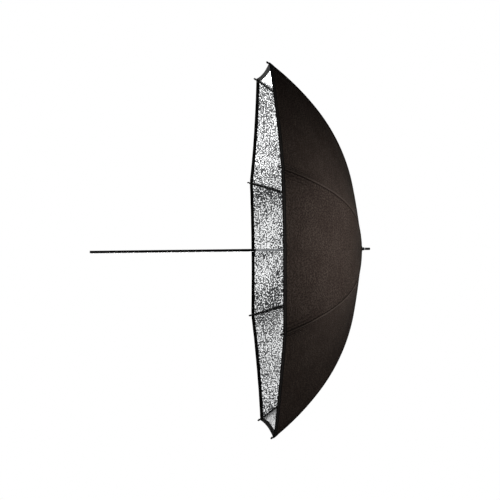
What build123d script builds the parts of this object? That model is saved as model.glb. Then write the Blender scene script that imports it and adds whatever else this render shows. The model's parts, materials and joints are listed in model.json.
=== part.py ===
"""Umbrella reflector for studio lights: folding frame with a silver-lined black canopy.

The shaft lies along X with its free end at the origin, and the crown is near its other end. The open
side of the canopy faces -X. Every rib is drawn in the XZ plane, pointing along +Z, and is then turned
about the shaft to its place. Lengths are in millimetres and angles in degrees.
"""
from build123d import *
import os
from math import acos, asin, atan2, cos, degrees, hypot, radians, sin, tan

# Layout of the frame
RIB_COUNT = 8
RIB_PITCH = 360 / RIB_COUNT
HALF_PITCH = RIB_PITCH / 2
FIRST_RIB_ANGLE = HALF_PITCH
APEX_X = 724.5  # free end of the shaft to the cloth's ridge line at the crown

# Open shape of a ribbed ridge: a start radius, a start slope and three tangent arcs (length, radius)
RIDGE_START_RADIUS = 5.0
RIDGE_START_SLOPE = 8.0
CROWN_ARC = (180.0, 2000.0)
MIDDLE_ARC = (240.0, 532.0)
RIM_ARC = (173.0, 740.0)
RIDGE_ARCS = (CROWN_ARC, MIDDLE_ARC, RIM_ARC)
RIDGE_LENGTH = sum(length for length, radius in RIDGE_ARCS)

# Canopy cloth
CLOTH_THICKNESS = 0.6
GORE_GAP = 0.3  # between the gores of neighbouring ribs
SCALLOP_DEPTH = 5.0  # how far the rim runs in from the line between two tips
HEM_WIDTH = 8.0
HEM_THICKNESS = 0.5

# Shaft: a bright steel tube with a black nylon coat on the stretch that a light's holder grips
SHAFT_DIAMETER = 7.0  # over the coat
COAT_THICKNESS = 0.2
COATED_LENGTH = 441.0  # from the free end
SHAFT_WALL = 0.7
SHAFT_END_BEYOND_APEX = 9.5
PLUG_LENGTH = 12.0
SNUG_GAP = 0.03  # between a fixed piece and what it is pressed on or into

# Ribs: fluted channels whose open side faces the shaft
RIB_WIDTH = 3.4
RIB_HEIGHT = 3.0
RIB_WALL = 0.45
RIB_UNDER_CLOTH = 0.9  # ridge line to the rib's back
RIB_START = 7.9  # along the ridge, from its start to the start of the channel
RIB_OVERHANG = 2.6  # channel beyond the end of the cloth, inside its tip
NECK_WIDTH = 1.9
NECK_HEIGHT = 2.4
NECK_OVERLAP = 6.0
NECK_ROOT = 1.0  # how far the neck reaches into the channel
RIB_EYE_RADIUS = 1.7

# Crown and runner: slotted collars that hold the ends of ribs and stretchers on a wire ring
RING_RADIUS = 7.5
RING_WIRE_RADIUS = 0.6
RING_GROOVE_WIDTH = 1.4
EYE_BORE_RADIUS = 0.85
COLLAR_RADIUS = 10.5
COLLAR_SLOT_WIDTH = 2.5
HUB_RADIUS = 5.6
CROWN_PIVOT_DEPTH = 4.6  # ridge start to the ribs' ring, along the shaft
CROWN_TOP_GAP = 1.05  # ridge start to the crown's flat top
CROWN_SLOT_ROOF = 1.5
CROWN_BELOW_RING = 3.5
CROWN_HUB_LENGTH = 7.0
CROWN_HUB_RADIUS = 5.4
CROSS_PIN_RADIUS = 0.75

# Runner
RUNNER_BORE_GAP = 0.2
RUNNER_COLLAR_HALF = 3.5
RUNNER_HEAD = 4.0  # sleeve above its collar
RUNNER_SKIRT = 58.0  # ring to the lower end of the sleeve
FLANGE_RADIUS = 9.0
FLANGE_THICKNESS = 3.0
GRIP_GROOVE_COUNT = 5
GRIP_GROOVE_PITCH = 4.0
GRIP_GROOVE_DEPTH = 0.5
GRIP_GROOVE_WIDTH = 1.6

# Stretchers: grooved bars that turn inside the rib's channel
STRETCHER_STATION = 238.0  # along the ridge, from its start to the rivet
STRETCHER_WIDTH = 2.0
STRETCHER_HEIGHT = 2.2
STRETCHER_EYE_RADIUS = 1.3
STRETCHER_GROOVE_WIDTH = 1.0
STRETCHER_GROOVE_DEPTH = 1.2
STRETCHER_GROOVE_END = 7.0
RIVET_DEPTH = 1.35  # inner face of the rib's web to the rivet's axis
RIVET_RADIUS = 0.7
RIVET_HEAD_RADIUS = 1.3
RIVET_HEAD_HEIGHT = 0.4
RIVET_EYE_GAP = 0.2
TIP_CLOSED_RADIUS = 11.0  # rib tips to the shaft's axis, folded

# Rib tips
TIP_RADIUS = 2.7
TIP_GAP = 0.3
TIP_LENGTH = 6.5
TIP_END_RADIUS = 1.5
TIP_SOCKET_GAP = 0.05
TIP_EYE_RADIUS = 0.6

# Spring catch and stop pin
CATCH_GAP = 0.4  # shoulder to the runner above it
CATCH_LENGTH = 45.0
CATCH_TAIL = 14.0
CATCH_THICKNESS = 0.8
CATCH_WIDTH = 2.0
CATCH_HEIGHT = 5.4
CATCH_LIP_HEIGHT = 1.6
CATCH_LIP_LENGTH = 3.0
CATCH_EYE_RADIUS = 1.5
CATCH_PIN_RADIUS = 0.6
CATCH_PIN_GAP = 0.15
CATCH_SLOT_WIDTH = 2.8
CATCH_SLOT_START = 22.0
CATCH_SLOT_END_GAP = 1.0
STOP_PIN_RADIUS = 0.8
STOP_PIN_LENGTH = 10.2
STOP_PIN_GAP = 0.4

# Cap that holds the cloth down on the crown, and the end of the shaft
CAP_GAP = 0.3
CAP_FLANGE_RADIUS = 9.0
CAP_FLANGE_THICKNESS = 1.0
CAP_HUB_RADIUS = 4.2
CAP_HUB_BEVEL = 1.0
CAP_LENGTH = 6.6
FERRULE_LENGTH = 14.0
FERRULE_SPIGOT = 10.0
FERRULE_END_BEVEL = 1.0

# Derived sizes
CUT_OVERRUN = 1.0  # how far a cutting solid runs past the faces that it cuts
SHAFT_RADIUS = SHAFT_DIAMETER / 2
STEEL_RADIUS = SHAFT_RADIUS - COAT_THICKNESS
SHAFT_BORE = STEEL_RADIUS - SHAFT_WALL
SCALLOP_DISC_HEIGHT = 10 * SCALLOP_DEPTH
SHAFT_END_X = APEX_X + SHAFT_END_BEYOND_APEX
CROWN_RING_X = APEX_X - CROWN_PIVOT_DEPTH
RIVET_UNDER_CLOTH = RIB_UNDER_CLOTH + RIB_WALL + RIVET_DEPTH


def ridge_pieces(start, end, depth):
    """The arcs of the ridge between two stations, each as (start, middle, end) points in (x, radius).

    A depth below the ridge is measured towards the inside of the canopy.
    """
    slope = radians(RIDGE_START_SLOPE)
    x, radius = APEX_X, RIDGE_START_RADIUS
    station = 0.0
    pieces = []
    for index, (length, bend) in enumerate(RIDGE_ARCS):
        centre_x = x - bend * cos(slope)
        centre_radius = radius - bend * sin(slope)
        last = index == len(RIDGE_ARCS) - 1
        first_station = max(start, station) if index else start
        last_station = end if last else min(end, station + length)
        if last_station > first_station:
            points = []
            for share in (0.0, 0.5, 1.0):
                along = first_station + share * (last_station - first_station) - station
                angle = slope + along / bend
                reach = bend - depth
                points.append((centre_x + reach * cos(angle), centre_radius + reach * sin(angle)))
            pieces.append(points)
        slope += length / bend
        x = centre_x + bend * cos(slope)
        radius = centre_radius + bend * sin(slope)
        station += length
    return pieces


def ridge_slope(station):
    """Angle in radians between the ridge at a station and a line square to the shaft."""
    slope = radians(RIDGE_START_SLOPE)
    for index, (length, bend) in enumerate(RIDGE_ARCS):
        last = index == len(RIDGE_ARCS) - 1
        within = station if last else min(station, length)
        slope += within / bend
        station -= within
        if station <= 0:
            break
    return slope


def ridge_point(station, depth=0.0):
    """Point (x, radius) on the ridge, or below it."""
    return ridge_pieces(0.0, station, depth)[-1][-1]


def in_rib_plane(point):
    """A point (x, radius) as a place in the XZ plane."""
    return Vector(point[0], 0, point[1])


def ridge_band(start, end, near, far):
    """Face between two depths below the ridge, from one station to another."""
    outer = ridge_pieces(start, end, near)
    inner = ridge_pieces(start, end, far)
    edges = [Edge.make_three_point_arc(*[in_rib_plane(point) for point in arc]) for arc in outer]
    edges.append(Edge.make_line(in_rib_plane(outer[-1][-1]), in_rib_plane(inner[-1][-1])))
    for arc in reversed(inner):
        edges.append(Edge.make_three_point_arc(*[in_rib_plane(point) for point in reversed(arc)]))
    edges.append(Edge.make_line(in_rib_plane(inner[0][0]), in_rib_plane(outer[0][0])))
    return Face(Wire(edges))


def across(face, width):
    """A face in the XZ plane as a plate of the given width, half on each side of it."""
    return extrude(face, amount=width / 2, dir=(0, 1, 0)) + extrude(face, amount=width / 2, dir=(0, -1, 0))


def cross_cylinder(x, radius_from_shaft, radius, width):
    """Cylinder square to the rib plane."""
    return Pos(x, 0, radius_from_shaft) * Rot(X=90) * Cylinder(radius, width)


def axial_cylinder(start_x, end_x, radius):
    """Cylinder on the shaft's axis."""
    return Pos((start_x + end_x) / 2, 0, 0) * Rot(Y=90) * Cylinder(radius, end_x - start_x)


def turned(profile):
    """Solid of revolution about the shaft's axis from (x, radius) corners."""
    corners = [in_rib_plane(point) for point in profile]
    return revolve(Face(Wire.make_polygon(corners, close=True)), Axis.X, 360)


def rib_angle(index):
    return FIRST_RIB_ANGLE + index * RIB_PITCH


def place(piece, index):
    """Turns a piece from the XZ plane to its rib's place round the shaft."""
    return Rot(X=rib_angle(index)) * piece


# Linkage, open. The stretcher is as long as the way from the crown's ring to the rivet, so its lower
# end stays at the ring's radius through the whole fold.
RIVET_X, RIVET_R = ridge_point(STRETCHER_STATION, RIVET_UNDER_CLOTH)
LINK_LENGTH = hypot(CROWN_RING_X - RIVET_X, RIVET_R - RING_RADIUS)
LINK_OPEN_ANGLE = asin((CROWN_RING_X - RIVET_X) / LINK_LENGTH)
RUNNER_RING_X = CROWN_RING_X - 2 * LINK_LENGTH * sin(LINK_OPEN_ANGLE)
RUNNER_TOP_X = RUNNER_RING_X + RUNNER_COLLAR_HALF + RUNNER_HEAD
RUNNER_END_X = RUNNER_RING_X - RUNNER_SKIRT
TIP_X, TIP_R = ridge_point(RIDGE_LENGTH + RIB_OVERHANG, RIB_UNDER_CLOTH + RIB_HEIGHT / 2)
TIP_REACH = hypot(CROWN_RING_X - TIP_X, TIP_R - RING_RADIUS)
TIP_OPEN_ANGLE = atan2(CROWN_RING_X - TIP_X, TIP_R - RING_RADIUS)
FOLD_ANGLE = acos((TIP_CLOSED_RADIUS - RING_RADIUS) / TIP_REACH) - TIP_OPEN_ANGLE
RUNNER_TRAVEL = 2 * LINK_LENGTH * (sin(LINK_OPEN_ANGLE + FOLD_ANGLE) - sin(LINK_OPEN_ANGLE))

CATCH_PIN_X = RUNNER_END_X - CATCH_GAP - CATCH_LENGTH
CATCH_SHOULDER_X = RUNNER_END_X - CATCH_GAP
STOP_PIN_X = RUNNER_TOP_X + STOP_PIN_GAP + STOP_PIN_RADIUS
CROWN_TOP_X = APEX_X - CROWN_TOP_GAP
CROWN_END_X = CROWN_RING_X - CROWN_BELOW_RING
CROWN_PIN_X = CROWN_END_X - CROWN_HUB_LENGTH / 2
CAP_START_X = APEX_X + CLOTH_THICKNESS + CAP_GAP


def collar_slots(start_x, end_x, floor_radius):
    """Radial slots for the ends of the ribs or stretchers."""
    depth = COLLAR_RADIUS - floor_radius + CUT_OVERRUN
    slot = Box(end_x - start_x, COLLAR_SLOT_WIDTH, depth)
    slot = Pos((start_x + end_x) / 2, 0, floor_radius + depth / 2) * slot
    return [place(slot, index) for index in range(RIB_COUNT)]


def ring_groove(ring_x):
    """Groove round a collar, with the wire ring at its bottom."""
    half = RING_GROOVE_WIDTH / 2
    floor_radius = RING_RADIUS - half
    outside = COLLAR_RADIUS + CUT_OVERRUN
    return turned([(ring_x - half, floor_radius), (ring_x + half, floor_radius),
                   (ring_x + half, outside), (ring_x - half, outside)])


def ring_wire(ring_x):
    """Ring drawn tight between the collar's teeth, so that it runs straight through each eye."""
    middle = Vector(ring_x, 0, RING_RADIUS)
    corner = Vector(ring_x, RING_RADIUS * tan(radians(HALF_PITCH)), RING_RADIUS)
    corners = [corner.rotate(Axis.X, -step * RIB_PITCH) for step in range(RIB_COUNT)]
    path = Polyline(middle, *corners, middle)
    section = Plane(origin=middle, z_dir=(0, 1, 0)) * Circle(RING_WIRE_RADIUS)
    wire = sweep(section, path=path, transition=Transition.RIGHT)
    return wire.rotate(Axis.X, FIRST_RIB_ANGLE)


def cross_pin(x, radius, length):
    """Pin through the shaft, along Y."""
    return cross_cylinder(x, 0, radius, length)


def make_shaft():
    tube = turned([(0, SHAFT_BORE), (0, SHAFT_RADIUS), (COATED_LENGTH, SHAFT_RADIUS),
                   (COATED_LENGTH, STEEL_RADIUS), (SHAFT_END_X, STEEL_RADIUS), (SHAFT_END_X, SHAFT_BORE)])
    hole_length = 2 * SHAFT_DIAMETER
    tube -= cross_pin(CROWN_PIN_X, CROSS_PIN_RADIUS + SNUG_GAP, hole_length)
    tube -= cross_pin(STOP_PIN_X, STOP_PIN_RADIUS + SNUG_GAP, hole_length)
    tube -= cross_pin(CATCH_PIN_X, CATCH_PIN_RADIUS + SNUG_GAP, hole_length)
    slot_start = CATCH_PIN_X + CATCH_SLOT_START
    slot_end = CATCH_SHOULDER_X + CATCH_SLOT_END_GAP
    slot = Box(slot_end - slot_start, CATCH_SLOT_WIDTH, SHAFT_DIAMETER)
    tube -= Pos((slot_start + slot_end) / 2, 0, SHAFT_DIAMETER / 2) * slot
    return tube


def make_end_plug():
    return axial_cylinder(0, PLUG_LENGTH, SHAFT_BORE - SNUG_GAP)


def make_ferrule():
    end = SHAFT_END_X + FERRULE_LENGTH
    spigot_radius = SHAFT_BORE - SNUG_GAP
    return turned([(SHAFT_END_X - FERRULE_SPIGOT, 0), (SHAFT_END_X - FERRULE_SPIGOT, spigot_radius),
                   (SHAFT_END_X, spigot_radius), (SHAFT_END_X, STEEL_RADIUS),
                   (end - FERRULE_END_BEVEL, STEEL_RADIUS), (end, STEEL_RADIUS - FERRULE_END_BEVEL),
                   (end, 0)])


def make_canopy_cap():
    """Flange over the cloth with a hub that grips the shaft."""
    bore = STEEL_RADIUS + SNUG_GAP
    flange_top = CAP_START_X + CAP_FLANGE_THICKNESS
    end = CAP_START_X + CAP_LENGTH
    edge = CAP_FLANGE_THICKNESS / 2
    return turned([(CAP_START_X, bore), (CAP_START_X, CAP_FLANGE_RADIUS - edge),
                   (CAP_START_X + edge, CAP_FLANGE_RADIUS), (flange_top, CAP_HUB_RADIUS + CAP_HUB_BEVEL),
                   (flange_top + CAP_HUB_BEVEL, CAP_HUB_RADIUS), (end - edge, CAP_HUB_RADIUS),
                   (end, CAP_HUB_RADIUS - edge), (end, bore)])


def make_crown():
    """Slotted disc on the end of the shaft, with a hub below for its pin."""
    bore = STEEL_RADIUS + SNUG_GAP
    hub_end = CROWN_END_X - CROWN_HUB_LENGTH
    body = turned([(hub_end, bore), (hub_end, CROWN_HUB_RADIUS), (CROWN_END_X, CROWN_HUB_RADIUS),
                   (CROWN_END_X, COLLAR_RADIUS), (CROWN_TOP_X, COLLAR_RADIUS), (CROWN_TOP_X, bore)])
    body -= ring_groove(CROWN_RING_X)
    for slot in collar_slots(CROWN_END_X - CUT_OVERRUN, CROWN_TOP_X - CROWN_SLOT_ROOF, CROWN_HUB_RADIUS):
        body -= slot
    body -= cross_pin(CROWN_PIN_X, CROSS_PIN_RADIUS + SNUG_GAP, 4 * CROWN_HUB_RADIUS)
    return body


def make_runner():
    """Sleeve with a slotted collar near its top, grip grooves and a thumb flange at its end."""
    bore = SHAFT_RADIUS + RUNNER_BORE_GAP
    collar_start = RUNNER_RING_X - RUNNER_COLLAR_HALF
    collar_end = RUNNER_RING_X + RUNNER_COLLAR_HALF
    flange_top = RUNNER_END_X + FLANGE_THICKNESS
    edge = FLANGE_THICKNESS / 4
    body = turned([(RUNNER_END_X, bore), (RUNNER_END_X, FLANGE_RADIUS - edge),
                   (RUNNER_END_X + edge, FLANGE_RADIUS), (flange_top - edge, FLANGE_RADIUS),
                   (flange_top, FLANGE_RADIUS - edge), (flange_top, HUB_RADIUS),
                   (collar_start, HUB_RADIUS), (collar_start, COLLAR_RADIUS),
                   (collar_end, COLLAR_RADIUS), (collar_end, HUB_RADIUS),
                   (RUNNER_TOP_X, HUB_RADIUS), (RUNNER_TOP_X, bore)])
    body -= ring_groove(RUNNER_RING_X)
    for slot in collar_slots(collar_start - CUT_OVERRUN, collar_end + CUT_OVERRUN, HUB_RADIUS):
        body -= slot
    for step in range(GRIP_GROOVE_COUNT):
        groove_x = flange_top + (step + 1) * GRIP_GROOVE_PITCH
        half = GRIP_GROOVE_WIDTH / 2
        outside = HUB_RADIUS + CUT_OVERRUN
        body -= turned([(groove_x - half, outside), (groove_x - half, HUB_RADIUS),
                        (groove_x, HUB_RADIUS - GRIP_GROOVE_DEPTH), (groove_x + half, HUB_RADIUS),
                        (groove_x + half, outside)])
    return body


def make_spring_catch():
    """Bent strip: a tail on its pin, a ramp out through the slot, a shoulder and an inner lip."""
    half = CATCH_THICKNESS / 2
    shoulder = CATCH_SHOULDER_X - half
    spine = [(CATCH_PIN_X, 0), (CATCH_PIN_X + CATCH_TAIL, 0), (shoulder - 2 * half, CATCH_HEIGHT),
             (shoulder, CATCH_HEIGHT), (shoulder, CATCH_LIP_HEIGHT),
             (shoulder + CATCH_LIP_LENGTH, CATCH_LIP_HEIGHT)]
    strip = None
    for first, second in zip(spine, spine[1:]):
        length = hypot(second[0] - first[0], second[1] - first[1])
        angle = degrees(atan2(second[1] - first[1], second[0] - first[0]))
        middle = ((first[0] + second[0]) / 2, (first[1] + second[1]) / 2)
        leaf = Pos(middle[0], 0, middle[1]) * Rot(Y=-angle) * Box(length, CATCH_WIDTH, CATCH_THICKNESS)
        strip = leaf if strip is None else strip + leaf
    for corner in spine[1:]:
        strip += cross_cylinder(corner[0], corner[1], half, CATCH_WIDTH)
    strip += cross_cylinder(CATCH_PIN_X, 0, CATCH_EYE_RADIUS, CATCH_WIDTH)
    strip -= cross_cylinder(CATCH_PIN_X, 0, CATCH_PIN_RADIUS + CATCH_PIN_GAP, CATCH_WIDTH + CUT_OVERRUN)
    return strip


def make_rib():
    """Bowed channel with its open side inwards, and a neck with an eye for the crown's ring."""
    end = RIDGE_LENGTH + RIB_OVERHANG
    back = RIB_UNDER_CLOTH
    channel = across(ridge_band(RIB_START, end, back, back + RIB_HEIGHT), RIB_WIDTH)
    flute = ridge_band(RIB_START - CUT_OVERRUN, end + CUT_OVERRUN, back + RIB_WALL,
                       back + RIB_HEIGHT + CUT_OVERRUN)
    channel -= across(flute, RIB_WIDTH - 2 * RIB_WALL)
    web_middle = back + RIB_WALL / 2
    plug_end = RIB_START + NECK_OVERLAP
    plug = across(ridge_band(RIB_START, plug_end, web_middle, back + RIB_HEIGHT), RIB_WIDTH - RIB_WALL)
    root_x, root_r = ridge_point(RIB_START + NECK_ROOT, back + RIB_HEIGHT / 2)
    run = hypot(root_x - CROWN_RING_X, root_r - RING_RADIUS)
    lean = degrees(atan2(root_x - CROWN_RING_X, root_r - RING_RADIUS))
    neck = Rot(Y=lean) * (Pos(0, 0, run / 2) * Box(NECK_HEIGHT, NECK_WIDTH, run))
    neck = Pos(CROWN_RING_X, 0, RING_RADIUS) * neck
    eye = cross_cylinder(CROWN_RING_X, RING_RADIUS, RIB_EYE_RADIUS, NECK_WIDTH)
    rib = channel + plug + neck + eye
    rib -= cross_cylinder(CROWN_RING_X, RING_RADIUS, EYE_BORE_RADIUS, NECK_WIDTH + CUT_OVERRUN)
    rib -= cross_cylinder(RIVET_X, RIVET_R, RIVET_RADIUS + SNUG_GAP, RIB_WIDTH + CUT_OVERRUN)
    return rib


def make_rivet():
    shank_length = RIB_WIDTH + 2 * RIVET_HEAD_HEIGHT
    rivet = cross_cylinder(RIVET_X, RIVET_R, RIVET_RADIUS, shank_length)
    for side in (-1, 1):
        head = cross_cylinder(RIVET_X, RIVET_R, RIVET_HEAD_RADIUS, RIVET_HEAD_HEIGHT)
        rivet += Pos(0, side * (RIB_WIDTH + RIVET_HEAD_HEIGHT) / 2, 0) * head
    return rivet


def make_rib_tip():
    """Rounded plastic tip over the end of the channel, with an eye for the cloth's corner thread."""
    middle = RIB_UNDER_CLOTH + RIB_HEIGHT / 2
    start_station = RIDGE_LENGTH + TIP_GAP
    start_x, start_r = ridge_point(start_station, middle)
    lean = degrees(ridge_slope(start_station))
    shoulder = TIP_LENGTH - TIP_RADIUS
    body = Pos(0, 0, shoulder / 2) * Cylinder(TIP_RADIUS, shoulder)
    body += Pos(0, 0, shoulder + TIP_RADIUS / 2) * Cone(TIP_RADIUS, TIP_END_RADIUS, TIP_RADIUS)
    eye = Rot(X=90) * Cylinder(TIP_EYE_RADIUS, 4 * TIP_RADIUS)
    body -= Pos(0, 0, TIP_LENGTH - TIP_RADIUS) * eye
    body = Pos(start_x, 0, start_r) * Rot(Y=-lean) * body
    gap = TIP_SOCKET_GAP
    socket = ridge_band(RIDGE_LENGTH, RIDGE_LENGTH + RIB_OVERHANG + gap,
                        RIB_UNDER_CLOTH - gap, RIB_UNDER_CLOTH + RIB_HEIGHT + gap)
    return body - across(socket, RIB_WIDTH + 2 * gap)


def make_stretcher():
    """Grooved bar with an eye at each end, from the rivet down to the runner's ring."""
    bar = Box(STRETCHER_HEIGHT, STRETCHER_WIDTH, LINK_LENGTH)
    groove = Box(STRETCHER_GROOVE_DEPTH, STRETCHER_GROOVE_WIDTH, LINK_LENGTH - 2 * STRETCHER_GROOVE_END)
    bar -= Pos((STRETCHER_GROOVE_DEPTH - STRETCHER_HEIGHT) / 2, 0, 0) * groove
    middle_x = (RIVET_X + RUNNER_RING_X) / 2
    middle_r = (RIVET_R + RING_RADIUS) / 2
    stretcher = Pos(middle_x, 0, middle_r) * Rot(Y=degrees(LINK_OPEN_ANGLE)) * bar
    for x, radius, bore in ((RUNNER_RING_X, RING_RADIUS, EYE_BORE_RADIUS),
                            (RIVET_X, RIVET_R, RIVET_RADIUS + RIVET_EYE_GAP)):
        stretcher += cross_cylinder(x, radius, STRETCHER_EYE_RADIUS, STRETCHER_WIDTH)
        stretcher -= cross_cylinder(x, radius, bore, STRETCHER_WIDTH + CUT_OVERRUN)
    return stretcher


def panel_wedge(side):
    """Space between a rib's plane and the middle of the next panel, less half the gap between gores."""
    half = radians(HALF_PITCH)
    reach = 2 * ridge_point(RIDGE_LENGTH)[1]
    back = GORE_GAP / 2 / sin(half)
    corners = [Vector(0, 0, back), Vector(0, 0, reach), Vector(0, side * (reach - back) * tan(half), reach)]
    return extrude(Face(Wire.make_polygon(corners, close=True)), amount=2 * APEX_X, dir=(1, 0, 0))


def scallop_disc(side, extra):
    """Disc square to the cloth at the rim: its edge, less the extra radius, is the rim between two tips."""
    half = radians(HALF_PITCH)
    rim_x, rim_r = ridge_point(RIDGE_LENGTH)
    slope = ridge_slope(RIDGE_LENGTH)
    chord_half = rim_r * sin(half)
    radius = (chord_half ** 2 + SCALLOP_DEPTH ** 2) / (2 * SCALLOP_DEPTH)
    middle_line = Vector(0, side * sin(half), cos(half))
    rimward = (middle_line * (cos(slope) * cos(half)) - Vector(sin(slope), 0, 0)).normalized()
    tangent = Vector(0, side * cos(half), -sin(half))
    centre = Vector(rim_x, 0, 0) + middle_line * (rim_r * cos(half)) + rimward * (radius - SCALLOP_DEPTH)
    plane = Plane(origin=centre, x_dir=tangent, z_dir=rimward.cross(tangent))
    return plane * Cylinder(radius + extra, SCALLOP_DISC_HEIGHT)


def half_gore(side):
    """Cloth from a ridge to the middle of the next panel, drawn straight across the panel, and its hem."""
    half = radians(HALF_PITCH)
    span = ridge_point(RIDGE_LENGTH)[1] * sin(half) + 2 * SCALLOP_DEPTH
    direction = (0, side * cos(half), -sin(half))
    sheet = extrude(ridge_band(0, RIDGE_LENGTH, -CLOTH_THICKNESS, 0), amount=span, dir=direction)
    hem_start = RIDGE_LENGTH - 3 * HEM_WIDTH - SCALLOP_DEPTH
    hem = extrude(ridge_band(hem_start, RIDGE_LENGTH, 0, HEM_THICKNESS), amount=span, dir=direction)
    hem = Pos(0, side * RIB_WIDTH, -RIB_WIDTH * tan(half)) * hem
    sheet += hem & scallop_disc(side, HEM_WIDTH)
    return (sheet & panel_wedge(side)) - scallop_disc(side, 0)


def make_gore():
    """The cloth that one rib carries: half of the panel on each of its sides."""
    return half_gore(1) + half_gore(-1)


def write(name, piece):
    solids = piece.solids()
    shape = solids[0] if len(solids) == 1 else Compound(children=solids)
    export_step(shape, f"parts/{name}.step")


def main():
    os.makedirs("parts", exist_ok=True)
    write("shaft", make_shaft())
    write("end_plug", make_end_plug())
    write("ferrule", make_ferrule())
    write("canopy_cap", make_canopy_cap())
    write("crown", make_crown())
    write("crown_ring_wire", ring_wire(CROWN_RING_X))
    write("crown_pin", cross_pin(CROWN_PIN_X, CROSS_PIN_RADIUS, 2 * CROWN_HUB_RADIUS))
    write("stop_pin", cross_pin(STOP_PIN_X, STOP_PIN_RADIUS, STOP_PIN_LENGTH))
    write("catch_pin", cross_pin(CATCH_PIN_X, CATCH_PIN_RADIUS, 2 * STEEL_RADIUS))
    write("spring_catch", make_spring_catch())
    write("runner", make_runner())
    write("runner_ring_wire", ring_wire(RUNNER_RING_X))
    pieces = {"rib": make_rib(), "stretcher": make_stretcher(), "stretcher_rivet": make_rivet(),
              "rib_tip": make_rib_tip(), "canopy_gore": make_gore()}
    for name, piece in pieces.items():
        for index in range(RIB_COUNT):
            write(f"{name}_{index + 1}", place(piece, index))
    for name in ("APEX_X", "CROWN_RING_X", "RUNNER_RING_X", "RUNNER_END_X", "RUNNER_TOP_X", "RIVET_X",
                 "RIVET_R", "LINK_LENGTH", "RUNNER_TRAVEL", "CATCH_PIN_X", "TIP_X", "TIP_R", "SHAFT_END_X",
                 "COATED_LENGTH"):
        print(f"{name} = {globals()[name]:.4f}")
    print(f"FOLD_ANGLE = {degrees(FOLD_ANGLE):.4f}")
    print(f"LINK_OPEN_ANGLE = {degrees(LINK_OPEN_ANGLE):.4f}")
    print(f"TIP_SLOPE = {degrees(ridge_slope(RIDGE_LENGTH)):.3f}")
    print("RIM =", ridge_point(RIDGE_LENGTH))


main()
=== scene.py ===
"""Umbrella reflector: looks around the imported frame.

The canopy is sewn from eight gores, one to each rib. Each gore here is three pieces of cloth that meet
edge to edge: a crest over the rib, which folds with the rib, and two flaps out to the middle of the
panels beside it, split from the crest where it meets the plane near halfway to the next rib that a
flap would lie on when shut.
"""
import json
from math import acos, atan, cos, hypot, pi, radians, sin, tan

import bpy
from mathutils import Matrix, Vector, noise


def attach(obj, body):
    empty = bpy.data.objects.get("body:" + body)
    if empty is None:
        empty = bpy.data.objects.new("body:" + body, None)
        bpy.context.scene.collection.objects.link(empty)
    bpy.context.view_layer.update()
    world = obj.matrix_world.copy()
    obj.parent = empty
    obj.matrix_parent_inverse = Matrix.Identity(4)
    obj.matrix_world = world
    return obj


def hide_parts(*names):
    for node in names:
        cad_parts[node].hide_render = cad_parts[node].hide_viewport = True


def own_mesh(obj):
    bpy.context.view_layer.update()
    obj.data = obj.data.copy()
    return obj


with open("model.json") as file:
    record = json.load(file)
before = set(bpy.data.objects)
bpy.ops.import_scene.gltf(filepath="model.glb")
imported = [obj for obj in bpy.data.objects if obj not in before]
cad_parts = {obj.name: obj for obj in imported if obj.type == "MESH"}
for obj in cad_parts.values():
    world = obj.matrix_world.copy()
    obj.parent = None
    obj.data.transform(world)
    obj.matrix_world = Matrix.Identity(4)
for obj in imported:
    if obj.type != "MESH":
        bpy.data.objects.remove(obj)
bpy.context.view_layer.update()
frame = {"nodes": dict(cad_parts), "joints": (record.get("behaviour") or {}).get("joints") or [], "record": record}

# Frame of the umbrella, in metres: the shaft is the X axis and the crown is at its +X end
RIB_COUNT = 8
RIB_PITCH = 2 * pi / RIB_COUNT
HALF_PITCH = RIB_PITCH / 2
JOINTS = {joint["name"]: joint for joint in frame["joints"]}
RIB_FOLD = JOINTS["rib_fold_1"]
RING_X = RIB_FOLD["pos_m"][0]
RING_RADIUS = hypot(RIB_FOLD["pos_m"][1], RIB_FOLD["pos_m"][2])
FOLD_ANGLE = radians(RIB_FOLD["range_deg"][1])

# Ridge of the canopy over a rib: where it starts (x, radius), how steeply, and its three tangent arcs,
# each as (length, radius)
RIDGE_START = (0.7245, 0.005)
RIDGE_START_SLOPE = radians(8.0)
RIDGE_ARCS = ((0.180, 2.000), (0.240, 0.532), (0.173, 0.740))
RIDGE_LENGTH = sum(length for length, bend in RIDGE_ARCS)

# Cloth, in metres
CLOTH_THICKNESS = 0.0004
HEM_WIDTH = 0.0115
HEM_THICKNESS = 0.0010
SCALLOP_DEPTH = 0.005
SEAM_HALF_WIDTH = 0.0036
SEAM_EDGE = 0.0009
SEAM_HEIGHT = 0.0007
STITCH_LENGTH = 0.003
STITCH_RISE = (-0.5, 0.2)  # part of each wave, from -1 to 1, over which a stitch rises
SEAM_STITCHES = 0.0027  # distance of the stitches beside a seam from the rib
SEAM_THREAD = (0.0002, 0.0005)  # half widths of the thread at its top and at its foot
HEM_STITCHES = 0.0066  # distance of the hem's stitches from the rim
HEM_THREAD = (0.0002, 0.0006)
CLOTH_THREADS = 1100.0  # threads of the weave to a metre
FOIL_THREADS = 900.0
HEM_THREADS = 1300.0
FOLDED_SHARE = 0.0135  # how much of its width across the fold a flap keeps when the umbrella is shut

# Sag: how far the middle of a panel is drawn in between two ribs. It grows and then eases over these
# distances from the crown, and EASED_SAG is the share of it that is lost at the rim
PANEL_SAG = 0.0045
SAG_GROWS = (0.02, 0.30)
SAG_EASES = (0.40, RIDGE_LENGTH)
EASED_SAG = 0.45

# Wrinkles: they set in over these distances from the crown and from a rib
WRINKLE_HEIGHT = 0.0011
WRINKLES_FROM_CROWN = (0.03, 0.16)
WRINKLES_FROM_RIB = (0.0, 0.035)
WRINKLE_PANEL_STEP = 3.7  # step in the noise from one panel to the next

# Foil: step between the patterns of neighbouring panels, grains to a metre, patches of grains as
# (patches to a metre, how much they change the grain), and the two shades
FOIL_SEED = 2.3
FOIL_GRAINS = 225
FOIL_PATCHES = ((55, 0.30), (13, 0.26))
FOIL_DARK = (0.018, 0.019, 0.021)
FOIL_BRIGHT = (0.93, 0.945, 0.95)

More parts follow.
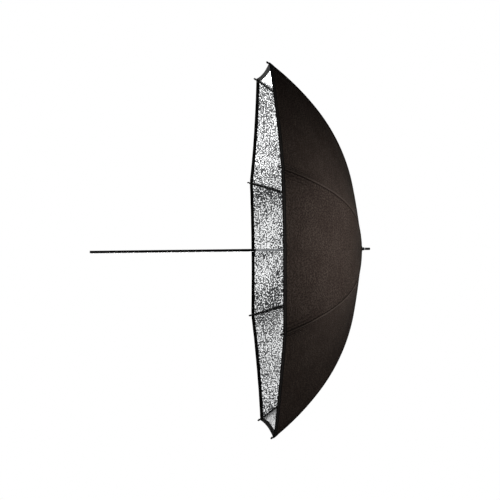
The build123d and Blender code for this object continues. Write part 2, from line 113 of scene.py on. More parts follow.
# Mesh of the cloth
CLOTH_ROWS = 96
HEM_ROWS = 4
CREST_COLUMNS = 5
FLAP_COLUMNS = 18
CREST_CREASE = 0.0018  # first column beside the middle of a crest
SEAM_SHARE = 0.6  # most of a narrow crest that its seam may take
SAME_POINT = 1e-7
HEM_MARGIN = 1.01  # points this little above the hem's edge still count as in the hem
LEAN_STEPS = 20
HALVINGS = 30

# Studio, in metres
WORLD_LIGHT = 0.05  # strength of the world as a light
WORLD_SEEN = 1.0  # and where it is seen
FLOOR_PLACE = (0.45, 0, -0.95)
FLOOR_RADIUS = 1.45
FLOOR_FADE_START = 0.7  # share of the radius where the floor starts to fade
FLOOR_GLOW = 0.58

# Shades of the black cloth
CLOTH_SHADE = (0.027, 0.0195, 0.0158)
FADED_SHADE = (0.041, 0.0310, 0.0255)
# Painted sheen along the tension lines
PAINTED_LINE_SHEEN = (0.064, 0.0500, 0.0410)
MOTTLE_SHADE = (0.009, 0.0064, 0.0054)
SPECK_SHADE = (0.012, 0.0088, 0.0075)
# Painted highlight along the seams' tops, and painted shade in their grooves and in a panel's middle crease
PAINTED_SEAM_HIGHLIGHT = (0.052, 0.041, 0.034)
PAINTED_GROOVE_SHADE = (0.004, 0.003, 0.0026)
# Painted shade in the folds of the puckers
PAINTED_PUCKER_SHADE = (0.008, 0.0058, 0.0048)
PUCKER_LENGTH = 0.0085

# Shaft: half the length over which its coat gives way to bare steel
COAT_FADE = 0.0002


# ---------------------------------------------------------------- camera, stage and light

def place_camera():
    """Long lens from the side, a little towards the open face of the bowl."""
    azimuth, elevation, roll = radians(-5.06), radians(0.36), radians(-0.65)
    distance = 4.1
    rim_centre = Vector((0.4685, 0, 0))
    back = Vector((sin(azimuth) * cos(elevation), -cos(azimuth) * cos(elevation), sin(elevation)))
    data = bpy.data.cameras.new("side_camera")
    data.sensor_width = 36
    data.lens = 110.6
    data.shift_x = -0.0327
    data.clip_start = 0.1
    camera = bpy.data.objects.new("side_camera", data)
    bpy.context.scene.collection.objects.link(camera)
    turn = back.to_track_quat("Z", "Y").to_matrix().to_4x4()
    place = Matrix.Translation(rim_centre + back * distance)
    camera.matrix_world = place @ turn @ Matrix.Rotation(roll, 4, "Z")
    bpy.context.scene.camera = camera


def add_light(name, place, target, size, power, spread):
    """Round lamp turned to a target: its size across in metres, power in watts, spread in degrees."""
    data = bpy.data.lights.new(name, "AREA")
    data.shape = "DISK"
    data.size = size
    data.energy = power
    data.spread = radians(spread)
    lamp = bpy.data.objects.new(name, data)
    lamp.location = place
    lamp.rotation_euler = (Vector(place) - Vector(target)).to_track_quat("Z", "Y").to_euler()
    lamp.visible_camera = False
    bpy.context.scene.collection.objects.link(lamp)


def seen_or_mirrored(tree):
    """1 where a surface is seen, also in a mirror or through glass, and 0 where it lights things."""
    path = tree.nodes.new("ShaderNodeLightPath").outputs
    seen = math_node(tree, "MAXIMUM", path["Is Camera Ray"], path["Is Transmission Ray"])
    return math_node(tree, "MAXIMUM", seen, path["Is Glossy Ray"])


def light_the_studio():
    """Soft lamps, and a world that looks white, also in reflections, but lights the object gently."""
    add_light("crown_softbox", place=(1.45, -0.72, 0.06), target=(0.58, -0.33, 0.02),
              size=0.4, power=1.35, spread=40)
    add_light("bowl_softbox", place=(-0.6, 0.55, -0.75), target=(0.5, 0.35, 0.4),
              size=0.9, power=1.0, spread=90)
    add_light("far_softbox", place=(0.35, 2.2, -0.5), target=(0.45, 0, 0.42),
              size=0.9, power=8, spread=50)
    add_light("low_softbox", place=(0.9, -0.75, -0.85), target=(0.54, -0.2, -0.47),
              size=0.5, power=0.42, spread=60)
    world = bpy.data.worlds.new("studio_world")
    bpy.context.scene.world = world
    world.use_nodes = True
    tree = world.node_tree
    nodes, links = tree.nodes, tree.links
    nodes.clear()
    strength = range_node(tree, seen_or_mirrored(tree), 0, 1, WORLD_LIGHT, WORLD_SEEN, smooth=False)
    background = nodes.new("ShaderNodeBackground")
    background.inputs["Color"].default_value = (1, 1, 1, 1)
    links.new(strength, background.inputs["Strength"])
    output = nodes.new("ShaderNodeOutputWorld")
    links.new(background.outputs[0], output.inputs["Surface"])


def lay_floor():
    """Pale round floor under the hanging umbrella, which fades into the white at its edge."""
    bpy.ops.object.select_all(action="DESELECT")
    bpy.ops.mesh.primitive_circle_add(
        vertices=96, radius=FLOOR_RADIUS, fill_type="NGON", location=FLOOR_PLACE)
    floor = bpy.context.object
    floor.name = "studio_floor"
    bpy.ops.object.transform_apply(location=True, rotation=True, scale=True)
    paint = bpy.data.materials.new("floor_paint")
    paint.use_nodes = True
    tree = paint.node_tree
    nodes, links = tree.nodes, tree.links
    shader = nodes["Principled BSDF"]
    shader.inputs["Base Color"].default_value = (0.86, 0.86, 0.86, 1)
    shader.inputs["Roughness"].default_value = 0.9
    shader.inputs["Emission Color"].default_value = (1, 1, 1, 1)
    glow = math_node(tree, "MULTIPLY", seen_or_mirrored(tree), FLOOR_GLOW)
    links.new(glow, shader.inputs["Emission Strength"])
    clear = nodes.new("ShaderNodeBsdfTransparent")
    mix = nodes.new("ShaderNodeMixShader")
    centre = nodes.new("ShaderNodeVectorMath")
    centre.operation = "DISTANCE"
    centre.inputs[1].default_value = FLOOR_PLACE
    links.new(object_place(tree), centre.inputs[0])
    fade_start = FLOOR_FADE_START * FLOOR_RADIUS
    fade = range_node(tree, centre.outputs["Value"], fade_start, FLOOR_RADIUS, 0, 1)
    links.new(fade, mix.inputs[0])
    links.new(shader.outputs[0], mix.inputs[1])
    links.new(clear.outputs[0], mix.inputs[2])
    links.new(mix.outputs[0], nodes["Material Output"].inputs["Surface"])
    floor.data.materials.append(paint)


# ---------------------------------------------------------------- finishes

def new_group(name, inputs, outputs):
    """Empty shader node group with the given sockets, each as (name, type)."""
    group = bpy.data.node_groups.new(name, "ShaderNodeTree")
    for direction, sockets in (("INPUT", inputs), ("OUTPUT", outputs)):
        for label, kind in sockets:
            group.interface.new_socket(name=label, in_out=direction, socket_type=kind)
    entry = group.nodes.new("NodeGroupInput")
    leave = group.nodes.new("NodeGroupOutput")
    return group, entry, leave


def math_node(tree, operation, first, second=None):
    """Math node on sockets or plain numbers; gives its output socket."""
    node = tree.nodes.new("ShaderNodeMath")
    node.operation = operation
    for index, value in enumerate((first, second)):
        if value is None:
            continue
        if isinstance(value, (int, float)):
            node.inputs[index].default_value = value
        else:
            tree.links.new(value, node.inputs[index])
    return node.outputs[0]


def noise_node(tree, vector, scale, detail=2.0, rough=0.5, distortion=0.0, seed=None):
    """Noise, in four dimensions where a seed socket is given."""
    node = tree.nodes.new("ShaderNodeTexNoise")
    if seed is not None:
        node.noise_dimensions = "4D"
        tree.links.new(seed, node.inputs["W"])
    node.inputs["Scale"].default_value = scale
    node.inputs["Detail"].default_value = detail
    node.inputs["Roughness"].default_value = rough
    node.inputs["Distortion"].default_value = distortion
    tree.links.new(vector, node.inputs["Vector"])
    return node.outputs["Fac"]


def range_node(tree, value, low, high, to_low, to_high, smooth=True):
    """Carries a value from one range over to another, eased at both ends where it is smooth."""
    node = tree.nodes.new("ShaderNodeMapRange")
    node.interpolation_type = "SMOOTHSTEP" if smooth else "LINEAR"
    ends = (("From Min", low), ("From Max", high), ("To Min", to_low), ("To Max", to_high))
    for label, number in ends:
        node.inputs[label].default_value = number
    tree.links.new(value, node.inputs["Value"])
    return node.outputs["Result"]


def colour_node(tree, factor, first, second):
    """Mix of two colours, each a socket or three numbers."""
    node = tree.nodes.new("ShaderNodeMix")
    node.data_type = "RGBA"
    tree.links.new(factor, node.inputs["Factor"])
    for label, value in (("A", first), ("B", second)):
        socket = next(s for s in node.inputs if s.name == label and s.type == "RGBA")
        if isinstance(value, tuple):
            socket.default_value = (*value, 1)
        else:
            tree.links.new(value, socket)
    return next(s for s in node.outputs if s.type == "RGBA")


def stretched(tree, vector, scale):
    """A place with each of its directions multiplied by a number."""
    node = tree.nodes.new("ShaderNodeMapping")
    node.inputs["Scale"].default_value = scale
    tree.links.new(vector, node.inputs["Vector"])
    return node.outputs["Vector"]


def bump_node(tree, height, distance, strength, normal=None):
    """Relief from a height, distance metres deep, laid over an earlier one where it is given."""
    node = tree.nodes.new("ShaderNodeBump")
    node.inputs["Distance"].default_value = distance
    node.inputs["Strength"].default_value = strength
    tree.links.new(height, node.inputs["Height"])
    if normal is not None:
        tree.links.new(normal, node.inputs["Normal"])
    return node.outputs["Normal"]


def make_weave_group():
    """Plain weave: threads over and under each other, as a height and a shade."""
    group, entry, leave = new_group(
        "plain_weave",
        (("Cloth", "NodeSocketVector"), ("Threads", "NodeSocketFloat")),
        (("Height", "NodeSocketFloat"), ("Shade", "NodeSocketFloat")))
    split = group.nodes.new("ShaderNodeSeparateXYZ")
    group.links.new(entry.outputs["Cloth"], split.inputs[0])
    turns = math_node(group, "MULTIPLY", entry.outputs["Threads"], 2 * pi)
    warp = math_node(group, "SINE", math_node(group, "MULTIPLY", split.outputs["X"], turns))
    weft = math_node(group, "SINE", math_node(group, "MULTIPLY", split.outputs["Y"], turns))
    crossing = math_node(group, "MULTIPLY", warp, weft)
    height = range_node(group, crossing, -1, 1, 0, 1, smooth=False)
    uneven = noise_node(group, entry.outputs["Cloth"], 420, detail=3, rough=0.7)
    group.links.new(height, leave.inputs["Height"])
    group.links.new(range_node(group, uneven, 0.3, 0.7, 0, 1), leave.inputs["Shade"])
    return group


def make_scuff_group():
    """Fine scratches along the shaft, faint smears and dust, for lacquer, plastic and bare steel."""
    group, entry, leave = new_group(
        "scuffs_and_smears",
        (("Place", "NodeSocketVector"), ("Scratch Scale", "NodeSocketFloat")),
        (("Scratch", "NodeSocketFloat"), ("Smear", "NodeSocketFloat")))
    across = stretched(group, entry.outputs["Place"], (4, 40, 40))
    fine = group.nodes.new("ShaderNodeTexNoise")
    fine.inputs["Detail"].default_value = 4
    group.links.new(across, fine.inputs["Vector"])
    group.links.new(entry.outputs["Scratch Scale"], fine.inputs["Scale"])
    smear = noise_node(group, entry.outputs["Place"], 60, detail=3)
    group.links.new(range_node(group, fine.outputs["Fac"], 0.45, 0.75, 0, 1), leave.inputs["Scratch"])
    group.links.new(range_node(group, smear, 0.35, 0.7, 0, 1), leave.inputs["Smear"])
    return group


def new_material(name, **values):
    """Material with a Principled shader whose plain sockets are set here."""
    material = bpy.data.materials.new(name)
    material.use_nodes = True
    shader = material.node_tree.nodes["Principled BSDF"]
    for label, value in values.items():
        socket = shader.inputs[label.replace("_", " ")]
        socket.default_value = (*value, 1) if isinstance(value, tuple) else value
    return material, material.node_tree, shader


def use_group(tree, group, **inputs):
    """Node group with the given inputs; gives its outputs."""
    node = tree.nodes.new("ShaderNodeGroup")
    node.node_tree = group
    for label, value in inputs.items():
        socket = node.inputs[label.replace("_", " ")]
        if isinstance(value, (int, float)):
            socket.default_value = value
        else:
            tree.links.new(value, socket)
    return node.outputs


def cloth_place(tree):
    """The cloth's own coordinates in metres: distance from the rib, and distance along it."""
    node = tree.nodes.new("ShaderNodeUVMap")
    node.uv_map = "cloth"
    return node.outputs["UV"]


def cloth_value(tree, name):
    """A number stored on the cloth's mesh: rim, from_middle or panel, as cloth_mesh says."""
    node = tree.nodes.new("ShaderNodeAttribute")
    node.attribute_name = name
    return node.outputs["Fac"]


def object_place(tree):
    """Place on a solid in the umbrella's frame, in metres."""
    return tree.nodes.new("ShaderNodeTexCoord").outputs["Object"]


def waves(tree, value, length):
    """Sine wave along a value, of the given length."""
    return math_node(tree, "SINE", math_node(tree, "MULTIPLY", value, 2 * pi / length))


def distance_from(tree, value, place):
    return math_node(tree, "ABSOLUTE", math_node(tree, "SUBTRACT", value, place))


def stitch_rows(tree, cloth, rim):
    """Topstitching beside the ribs' seams and along the hem, as a height from 0 to 1."""
    split = tree.nodes.new("ShaderNodeSeparateXYZ")
    tree.links.new(cloth, split.inputs[0])
    from_rib = math_node(tree, "ABSOLUTE", split.outputs["X"])
    along = waves(tree, split.outputs["Y"], STITCH_LENGTH)
    across = waves(tree, split.outputs["X"], STITCH_LENGTH)
    on_seam = range_node(tree, distance_from(tree, from_rib, SEAM_STITCHES), *SEAM_THREAD, 1, 0)
    on_hem = range_node(tree, distance_from(tree, rim, HEM_STITCHES), *HEM_THREAD, 1, 0)
    seam = math_node(tree, "MULTIPLY", on_seam, range_node(tree, along, *STITCH_RISE, 0, 1))
    hem = math_node(tree, "MULTIPLY", on_hem, range_node(tree, across, *STITCH_RISE, 0, 1))
    return math_node(tree, "MAXIMUM", seam, hem)


def make_black_cloth(weave):
    """Dyed black taffeta: warm black, faint tension lines across the panel with a painted sheen along them, weave
    and stitches, and painted light and shade at the seams, the panels' middles and the puckers.
    """
    material, tree, shader = new_material("black_canopy_cloth", Roughness=0.9, Specular_IOR_Level=0.015)
    cloth, rim = cloth_place(tree), cloth_value(tree, "rim")
    split = tree.nodes.new("ShaderNodeSeparateXYZ")
    tree.links.new(cloth, split.inputs[0])
    from_rib = math_node(tree, "ABSOLUTE", split.outputs["X"])
    threads = use_group(tree, weave, Cloth=cloth, Threads=CLOTH_THREADS)

    # Shades of the cloth itself, from broad patches to single threads, and a painted sheen along the tension lines
    patches = noise_node(tree, cloth, 9, detail=3, rough=0.55)
    shade = colour_node(tree, range_node(tree, patches, 0.3, 0.72, 0, 1), CLOTH_SHADE, FADED_SHADE)
    drawn = stretched(tree, cloth, (26, 130, 1))
    lines = noise_node(tree, drawn, 1.0, detail=3, rough=0.6, distortion=0.3)
    # Painted sheen: the tension lines, which also get relief below, are drawn lighter
    shade = colour_node(tree, range_node(tree, lines, 0.40, 0.72, 0, 0.4), shade, PAINTED_LINE_SHEEN)
    mottle = noise_node(tree, cloth, 250, detail=2, rough=0.6)
    shade = colour_node(tree, range_node(tree, mottle, 0.40, 0.60, 0, 0.85), shade, MOTTLE_SHADE)
    shade = colour_node(tree, math_node(tree, "MULTIPLY", threads["Shade"], 0.45), shade, SPECK_SHADE)

    # Painted highlight along the tops of the seams over the ribs, painted shade in their grooves and in the crease
    # in a panel's middle, and painted shade in the folds of the puckers beside the seams near the rim
    shade = colour_node(tree, range_node(tree, from_rib, 0.0017, 0.0028, 0.45, 0), shade, PAINTED_SEAM_HIGHLIGHT)
    seam_groove_shade = range_node(
        tree, distance_from(tree, from_rib, SEAM_HALF_WIDTH), 0.0005, 0.0013, 0.9, 0)
    crease_shade = range_node(tree, cloth_value(tree, "from_middle"), 0.0002, 0.0012, 0.35, 0)
    shade = colour_node(tree, math_node(tree, "MAXIMUM", seam_groove_shade, crease_shade), shade, PAINTED_GROOVE_SHADE)
    near_seam = math_node(tree, "MULTIPLY", range_node(tree, from_rib, 0.010, 0.036, 1, 0),
                          range_node(tree, split.outputs["Y"], 0.44, 0.54, 0, 1))
    puckers = math_node(tree, "MULTIPLY", waves(tree, from_rib, PUCKER_LENGTH), near_seam)
    # Painted shade: the puckers' folds are drawn darker
    shade = colour_node(tree, range_node(tree, puckers, 0.1, 0.9, 0, 0.75), shade, PAINTED_PUCKER_SHADE)
    tree.links.new(shade, shader.inputs["Base Color"])

    relief = bump_node(tree, puckers, 0.0014, 0.8)
    relief = bump_node(tree, lines, 0.0012, 0.5, relief)
    relief = bump_node(tree, threads["Height"], 0.00012, 0.5, relief)
    relief = bump_node(tree, stitch_rows(tree, cloth, rim), 0.0004, 0.8, relief)
    tree.links.new(relief, shader.inputs["Normal"])
    return material


def make_silver_lining(weave):
    """Pebbled silver foil under a clear film: bright and dark grains, in patches, with painted shade near the
    ribs.
    """
    material, tree, shader = new_material(
        "silver_foil_lining", Metallic=1.0, Coat_Weight=0.5, Coat_Roughness=0.3)
    cloth = cloth_place(tree)
    seed = math_node(tree, "MULTIPLY", cloth_value(tree, "panel"), FOIL_SEED)
    height = noise_node(tree, cloth, FOIL_GRAINS, detail=0.6, rough=0.5)
    for scale, share in FOIL_PATCHES:
        patch = noise_node(tree, cloth, scale, detail=2.0, rough=0.5, seed=seed)
        offset = math_node(tree, "MULTIPLY", math_node(tree, "SUBTRACT", patch, 0.5), share)
        height = math_node(tree, "ADD", height, offset)
    split = tree.nodes.new("ShaderNodeSeparateXYZ")
    tree.links.new(cloth, split.inputs[0])
    from_rib = math_node(tree, "ABSOLUTE", split.outputs["X"])
    # Painted shade: more dark grains towards each rib, most of them right beside it
    height = math_node(tree, "ADD", height, range_node(tree, from_rib, 0.01, 0.085, -0.055, 0))
    grain = range_node(tree, height, 0.47, 0.56, 0, 1)
    foil = colour_node(tree, grain, FOIL_DARK, FOIL_BRIGHT)
    tree.links.new(foil, shader.inputs["Base Color"])
    tree.links.new(range_node(tree, grain, 0, 1, 0.5, 0.3, smooth=False), shader.inputs["Roughness"])
    threads = use_group(tree, weave, Cloth=cloth, Threads=FOIL_THREADS)
    relief = bump_node(tree, height, 0.003, 0.6)
    relief = bump_node(tree, threads["Height"], 0.0001, 0.3, relief)
    tree.links.new(relief, shader.inputs["Normal"])
    return material


def make_hem_cloth(weave):
    """Black binding of the hem, a little denser and darker than the panels, with a painted highlight along its
    middle.
    """
    material, tree, shader = new_material("black_hem_binding", Roughness=0.9, Specular_IOR_Level=0.02)
    cloth, rim = cloth_place(tree), cloth_value(tree, "rim")
    threads = use_group(tree, weave, Cloth=cloth, Threads=HEM_THREADS)
    shade = colour_node(tree, threads["Shade"], (0.0025, 0.0022, 0.002), (0.006, 0.0052, 0.0046))
    from_centre = distance_from(tree, rim, 0.5 * HEM_WIDTH)
    # Painted highlight: a lighter stripe along the binding's middle
    raised_highlight = range_node(tree, from_centre, 0.08 * HEM_WIDTH, 0.26 * HEM_WIDTH, 0.8, 0)
    tree.links.new(colour_node(tree, raised_highlight, shade, (0.016, 0.015, 0.014)), shader.inputs["Base Color"])
    relief = bump_node(tree, threads["Height"], 0.00015, 0.6)
    relief = bump_node(tree, stitch_rows(tree, cloth, rim), 0.0004, 0.8, relief)
    tree.links.new(relief, shader.inputs["Normal"])
    return material


def make_black_finish(scuffs, name, shade, worn, roughness, scratch_spacing):
    """Black lacquer or plastic with scuffs that lift its shade and roughness."""
    material, tree, shader = new_material(name, Specular_IOR_Level=0.2)
    marks = use_group(tree, scuffs, Place=object_place(tree), Scratch_Scale=1.0 / scratch_spacing)
    tree.links.new(colour_node(tree, marks["Scratch"], shade, worn), shader.inputs["Base Color"])
    rough = range_node(tree, marks["Smear"], 0, 1, roughness - 0.08, roughness + 0.12)
    tree.links.new(rough, shader.inputs["Roughness"])
    tree.links.new(bump_node(tree, marks["Scratch"], 0.00005, 0.5), shader.inputs["Normal"])
    return material


def make_steel(scuffs, name, shade, roughness):
    """Drawn steel with fine lines along it."""
    material, tree, shader = new_material(name, Metallic=1.0)
    marks = use_group(tree, scuffs, Place=object_place(tree), Scratch_Scale=60.0)
    dull = tuple(0.72 * part for part in shade)
    tree.links.new(colour_node(tree, marks["Smear"], shade, dull), shader.inputs["Base Color"])
    rough = range_node(tree, marks["Scratch"], 0, 1, roughness, roughness + 0.2)
    tree.links.new(rough, shader.inputs["Roughness"])
    tree.links.new(bump_node(tree, marks["Scratch"], 0.00003, 0.4), shader.inputs["Normal"])
    return material


def make_shaft_finish(scuffs, coated_length):
    """Black nylon coat from the free end, then bright steel."""
    material, tree, shader = new_material("coated_steel_shaft", Specular_IOR_Level=0.03)
    place = object_place(tree)
    split = tree.nodes.new("ShaderNodeSeparateXYZ")
    tree.links.new(place, split.inputs[0])
    coat_edge = (coated_length - COAT_FADE, coated_length + COAT_FADE)
    bare = range_node(tree, split.outputs["X"], *coat_edge, 0, 1, smooth=False)
    marks = use_group(tree, scuffs, Place=place, Scratch_Scale=60.0)
    coat = colour_node(tree, marks["Scratch"], (0.0025, 0.0025, 0.0027), (0.008, 0.008, 0.008))
    steel = colour_node(tree, marks["Smear"], (0.46, 0.47, 0.48), (0.34, 0.34, 0.35))
    tree.links.new(colour_node(tree, bare, coat, steel), shader.inputs["Base Color"])
    tree.links.new(bare, shader.inputs["Metallic"])
    scuffed = range_node(tree, marks["Smear"], 0, 1, 0.34, 0.5)
    drawn = range_node(tree, marks["Scratch"], 0, 1, 0.22, 0.42)
    rough = tree.nodes.new("ShaderNodeMix")
    tree.links.new(bare, rough.inputs["Factor"])
    tree.links.new(scuffed, rough.inputs[2])
    tree.links.new(drawn, rough.inputs[3])
    tree.links.new(rough.outputs[0], shader.inputs["Roughness"])
    tree.links.new(bump_node(tree, marks["Scratch"], 0.00004, 0.5), shader.inputs["Normal"])
    return material


# ---------------------------------------------------------------- canopy

def ridge(station):
    """Place (x, radius) and slope of the ridge at a distance along it from the crown."""
    slope = RIDGE_START_SLOPE
    x, radius = RIDGE_START
    last = len(RIDGE_ARCS) - 1
    for index, (length, bend) in enumerate(RIDGE_ARCS):
        within = station if index == last else min(station, length)
        centre_x, centre_radius = x - bend * cos(slope), radius - bend * sin(slope)
        slope += within / bend
        x, radius = centre_x + bend * cos(slope), centre_radius + bend * sin(slope)
        station -= within
    return x, radius, slope


def outward(angle):
    """Unit vector square to the shaft, at an angle round it from +Z."""
    return Vector((0, -sin(angle), cos(angle)))


def rib_angle(rib):
    """Angle round the shaft of a rib, counted from 0."""
    return HALF_PITCH + rib * RIB_PITCH


def smooth_step(low, high, value):
    """Rises from 0 to 1 as the value goes from low to high, eased at both ends."""
    share = min(1.0, max(0.0, (value - low) / (high - low)))
    return share * share * (3 - 2 * share)


def panel_number(rib, side):
    """Number of the panel on one side (-1 or 1) of a rib."""
    return rib if side > 0 else (rib - 1) % RIB_COUNT


def wrinkle(rib, side, station, from_middle):
    """Height of the cloth's soft wrinkles, the same from both sides of a panel's middle.

    Broad swells, narrower ones across the rib, and slanted ones, each from its own part of the noise.
    """
    panel = WRINKLE_PANEL_STEP * panel_number(rib, side)
    broad = noise.noise(Vector((station * 11, from_middle * 7, panel)))
    drawn = noise.noise(Vector((station * 34, from_middle * 6, panel + 1.9)))
    slanted = noise.noise(Vector((
        station * 22 + from_middle * 16, from_middle * 20 - station * 9, panel + 5.1)))
    return 0.9 * broad + 0.5 * drawn + 0.45 * slanted


def panel_point(rib, side, station, across):
    """Point on the cloth's inner face, with its distance from the rib.

    across runs from 0 on the rib to 1 in the middle of the panel.
    """
    x, radius, slope = ridge(station)
    rib_way = outward(rib_angle(rib))
    middle_way = outward(rib_angle(rib) + side * HALF_PITCH) * cos(HALF_PITCH)
    crest = Vector((x, 0, 0)) + rib_way * radius
    middle = Vector((x, 0, 0)) + middle_way * radius
    half_width = (middle - crest).length
    point = crest.lerp(middle, across)
    downhill = Vector((-sin(slope), 0, 0)) + rib_way.lerp(middle_way, across) * cos(slope)
    normal = downhill.cross((middle - crest) * side).normalized()
    if normal.x < 0:
        normal.negate()
    from_rib = across * half_width
    bulge = 1 - (1 - across) ** 2
    spread = smooth_step(*SAG_GROWS, station) * (1 - EASED_SAG * smooth_step(*SAG_EASES, station))
    lift = -PANEL_SAG * spread * bulge
    calm = smooth_step(*WRINKLES_FROM_CROWN, station) * smooth_step(*WRINKLES_FROM_RIB, from_rib)
    from_middle = -side * (1 - across) * half_width
    lift += WRINKLE_HEIGHT * calm * wrinkle(rib, side, station, from_middle)
    lift += SEAM_HEIGHT * (1 - smooth_step(SEAM_HALF_WIDTH, SEAM_HALF_WIDTH + SEAM_EDGE, from_rib))
    return point + normal * lift, from_rib


def rim_station(across):
    """Where the scalloped rim crosses a line across the panel, as a distance along the ridge."""
    return RIDGE_LENGTH - SCALLOP_DEPTH * (1 - (1 - across) ** 2)


def row_station(row, across):
    """Station of a row of the mesh: even rows down to the hem, then the rows of the hem."""
    end = rim_station(across)
    if row <= CLOTH_ROWS:
        return (end - HEM_WIDTH) * row / CLOTH_ROWS
    return end - HEM_WIDTH * (1 - (row - CLOTH_ROWS) / HEM_ROWS)


def folded_plane(side):
    """Plane that a flap would be laid on when the rib folds, in (x, outward, sideways) at the open rib.

    Two planes hold the middle of the panel: the one where it is when open, and the one, turned back
    with the rib, where it has to be when shut. The flap's plane passes through the line that they
    share, and lies past the second one by the little that the flap keeps of its width.
    """
    apex = Vector((RING_X - RING_RADIUS * tan(FOLD_ANGLE / 2), 0, 0))
    open_normal = Vector((0, -sin(HALF_PITCH), cos(HALF_PITCH)))
    shut_normal = Vector((
        -sin(HALF_PITCH) * sin(FOLD_ANGLE), -sin(HALF_PITCH) * cos(FOLD_ANGLE), cos(HALF_PITCH)))
    between = acos(open_normal.dot(shut_normal))
    lean = between
    for _ in range(LEAN_STEPS):
        lean = between + atan(FOLDED_SHARE * tan(lean))
    sideways = (shut_normal - open_normal * cos(between)).normalized()
    normal = open_normal * cos(lean) + sideways * sin(lean)
    normal.z *= side
    return apex, normal


def in_row_frame(vector, rib):
    """A vector given as (x, outward, sideways) at a rib, in the umbrella's frame."""
    angle = rib_angle(rib)
    return Vector((vector.x, 0, 0)) + outward(angle) * vector.y + outward(angle + pi / 2) * vector.z


def split_line(rib, side, row, anchor, normal):
    """How far across the panel the flap's plane cuts a row of the cloth, at most 1."""
    def height(across):
        return (panel_point(rib, side, row_station(row, across), across)[0] - anchor).dot(normal)
    if height(1.0) <= 0:
        return 1.0
    low, high = 0.0, 1.0
    for _ in range(HALVINGS):
        middle = (low + high) / 2
        if height(middle) > 0:
            high = middle
        else:
            low = middle
    return (low + high) / 2


def cloth_mesh(name, rows, materials):
    """Single layer of cloth from rows of points, each with five numbers: its distance from the rib, its
    station, its distance from the rim and from the middle of the panel, and the panel's number.

    The first two become the "cloth" UV map, and the others the attributes rim, from_middle and panel.
    A vertex group holds the share of the full hem thickness, and Solidify makes the layer cloth.
    """
    vertices, faces, coordinates, rims, middles, panels = [], [], [], [], [], []
    starts = []
    for row in rows:
        starts.append(len(vertices))
        for point, from_rib, station, from_rim, from_middle, panel in row:
            vertices.append(point)
            coordinates.append((from_rib, station))
            rims.append(from_rim)
            middles.append(from_middle)
            panels.append(panel)
    for upper, lower in zip(range(len(rows) - 1), range(1, len(rows))):
        for column in range(len(rows[upper]) - 1):
            first, below = starts[upper] + column, starts[lower] + column
            corners = [first, first + 1, below + 1, below]
            merged = [c for i, c in enumerate(corners)
                      if (vertices[c] - vertices[corners[i - 1]]).length > SAME_POINT]
            if len(merged) >= 3:
                faces.append(merged)
    mesh = bpy.data.meshes.new(name)
    mesh.from_pydata(vertices, [], faces)
    piece = bpy.data.objects.new(name, mesh)
    bpy.context.scene.collection.objects.link(piece)
    for material in materials:
        mesh.materials.append(material)
    layer = mesh.uv_layers.new(name="cloth")
    for loop in mesh.loops:
        layer.data[loop.index].uv = coordinates[loop.vertex_index]
    for label, values in (("rim", rims), ("from_middle", middles), ("panel", panels)):
        mesh.attributes.new(label, "FLOAT", "POINT").data.foreach_set("value", values)
    if mesh.polygons[len(mesh.polygons) // 2].normal.x < 0:
        mesh.flip_normals()
    uses = [0] * len(mesh.edges)
    for loop in mesh.loops:
        uses[loop.edge_index] += 1
    sharp = mesh.attributes.new("sharp_edge", "BOOLEAN", "EDGE")
    sharp.data.foreach_set("value", [count == 1 for count in uses])
    for face in mesh.polygons:
        inside = sum(rims[index] for index in face.vertices) / len(face.vertices)
        face.material_index = 2 if inside < HEM_WIDTH else 0
        face.use_smooth = True
    hem = piece.vertex_groups.new(name="hem")
    for index, from_rim in enumerate(rims):
        share = CLOTH_THICKNESS / HEM_THICKNESS if from_rim > HEM_WIDTH * HEM_MARGIN else 1.0
        hem.add([index], share, "REPLACE")
    wall = piece.modifiers.new("cloth_wall", "SOLIDIFY")
    wall.thickness = HEM_THICKNESS
    wall.offset = 1
    wall.material_offset = 1
    wall.material_offset_rim = 0
    wall.vertex_group = "hem"
    return piece


def crest_columns(row, left, right):
    """Steps across a crest, from one split line over the rib to the other, as (side, across)."""
    half_width = ridge(row_station(row, 0))[1] * sin(HALF_PITCH)
    seam = [0.0, CREST_CREASE, SEAM_HALF_WIDTH, SEAM_HALF_WIDTH + SEAM_EDGE]
    columns = []
    for side, split in ((-1, left), (1, right)):
        room = split * half_width
        near = [distance * min(1.0, SEAM_SHARE * room / seam[-1]) for distance in seam]
        steps = [near[-1] + (room - near[-1]) * (i + 1) / CREST_COLUMNS
                 for i in range(CREST_COLUMNS)]
        shares = [min(split, distance / half_width) for distance in near + steps]
        columns.append([(side, share) for share in shares])
    return columns[0][:0:-1] + columns[1]


def cloth_row(rib, row, columns):
    """Row of points for cloth_mesh, one at each (side, across)."""
    made = []
    for side, across in columns:
        station = row_station(row, across)
        point, from_rib = panel_point(rib, side, station, across)
        from_middle = ridge(station)[1] * sin(HALF_PITCH) * (1 - across)
        made.append((point, side * from_rib, station, rim_station(across) - station, from_middle,
                     float(panel_number(rib, side))))
    return made


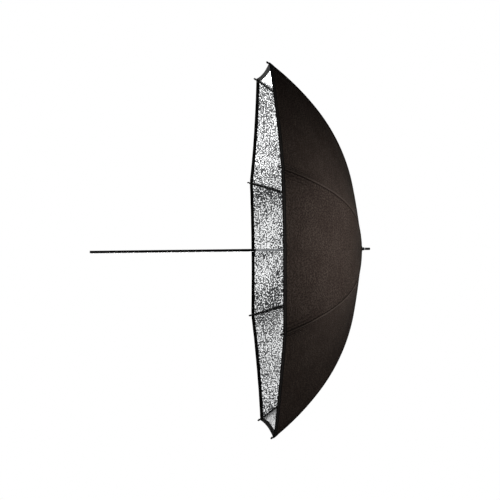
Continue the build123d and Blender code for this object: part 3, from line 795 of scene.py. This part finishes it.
def sew_gore(rib, materials):
    """The crest over a rib and the two flaps beside it."""
    node = f"canopy_gore_{rib + 1}"
    arm = f"rib_arm_{rib + 1}"
    row_count = CLOTH_ROWS + HEM_ROWS
    planes, splits = {}, {}
    for side in (-1, 1):
        apex, local_normal = folded_plane(side)
        normal = in_row_frame(local_normal, rib)
        planes[side] = (apex, normal)
        splits[side] = [split_line(rib, side, row, apex, normal) for row in range(row_count + 1)]
    rows = [cloth_row(rib, row, crest_columns(row, splits[-1][row], splits[1][row]))
            for row in range(row_count + 1)]
    crest = cloth_mesh(f"canopy_crest_{rib + 1}", rows, materials)
    pieces = [(crest, rows, None)]
    for side, letter in ((-1, "a"), (1, "b")):
        first = next(row for row in range(row_count + 1) if splits[side][row] < 1) - 1
        rows = []
        for row in range(first, row_count + 1):
            split = splits[side][row]
            shares = [split + (1 - split) * i / FLAP_COLUMNS for i in range(FLAP_COLUMNS + 1)]
            rows.append(cloth_row(rib, row, [(side, share) for share in shares]))
        flap = cloth_mesh(f"canopy_flap_{rib + 1}{letter}", rows, materials)
        pieces.append((flap, rows, planes[side]))
    for piece, rows, plane in pieces:
        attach(piece, arm)
        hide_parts(node)
        if plane:
            apex, normal = plane
            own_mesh(piece)


# ---------------------------------------------------------------- putting it together

def finish_node(node, material):
    """Gives a CAD node its finish."""
    mesh = frame["nodes"][node].data
    mesh.materials.clear()
    mesh.materials.append(material)


def dress_frame(scuffs):
    """Finishes for the solids that show as they are: the shaft, the fittings and the folding frame."""
    coated_length = frame["record"]["mounts"][0]["dims"]["length_mm"] / 1000
    lacquer = make_black_finish(
        scuffs, "black_rib_lacquer", shade=(0.004, 0.004, 0.004), worn=(0.015, 0.0145, 0.014),
        roughness=0.42, scratch_spacing=0.012)
    plastic = make_black_finish(
        scuffs, "black_moulded_plastic", shade=(0.005, 0.005, 0.005), worn=(0.012, 0.012, 0.012),
        roughness=0.55, scratch_spacing=0.02)
    steel = make_steel(scuffs, "bright_drawn_steel", shade=(0.63, 0.64, 0.65), roughness=0.2)
    finish_node("shaft", make_shaft_finish(scuffs, coated_length))
    for node in ("end_plug", "ferrule", "canopy_cap", "crown", "runner"):
        finish_node(node, plastic)
    for node in ("crown_ring_wire", "crown_pin", "stop_pin", "catch_pin", "runner_ring_wire",
                 "spring_catch"):
        finish_node(node, steel)
    for rib in range(1, RIB_COUNT + 1):
        finish_node(f"rib_{rib}", lacquer)
        finish_node(f"stretcher_{rib}", lacquer)
        finish_node(f"stretcher_rivet_{rib}", steel)
        finish_node(f"rib_tip_{rib}", plastic)


place_camera()
light_the_studio()
lay_floor()
bpy.context.scene.view_settings.view_transform = "Standard"
weave = make_weave_group()
scuffs = make_scuff_group()
dress_frame(scuffs)
hem_cloth = make_hem_cloth(weave)
cloth_finishes = [make_black_cloth(weave), make_silver_lining(weave), hem_cloth, hem_cloth]
for rib in range(RIB_COUNT):
    sew_gore(rib, cloth_finishes)
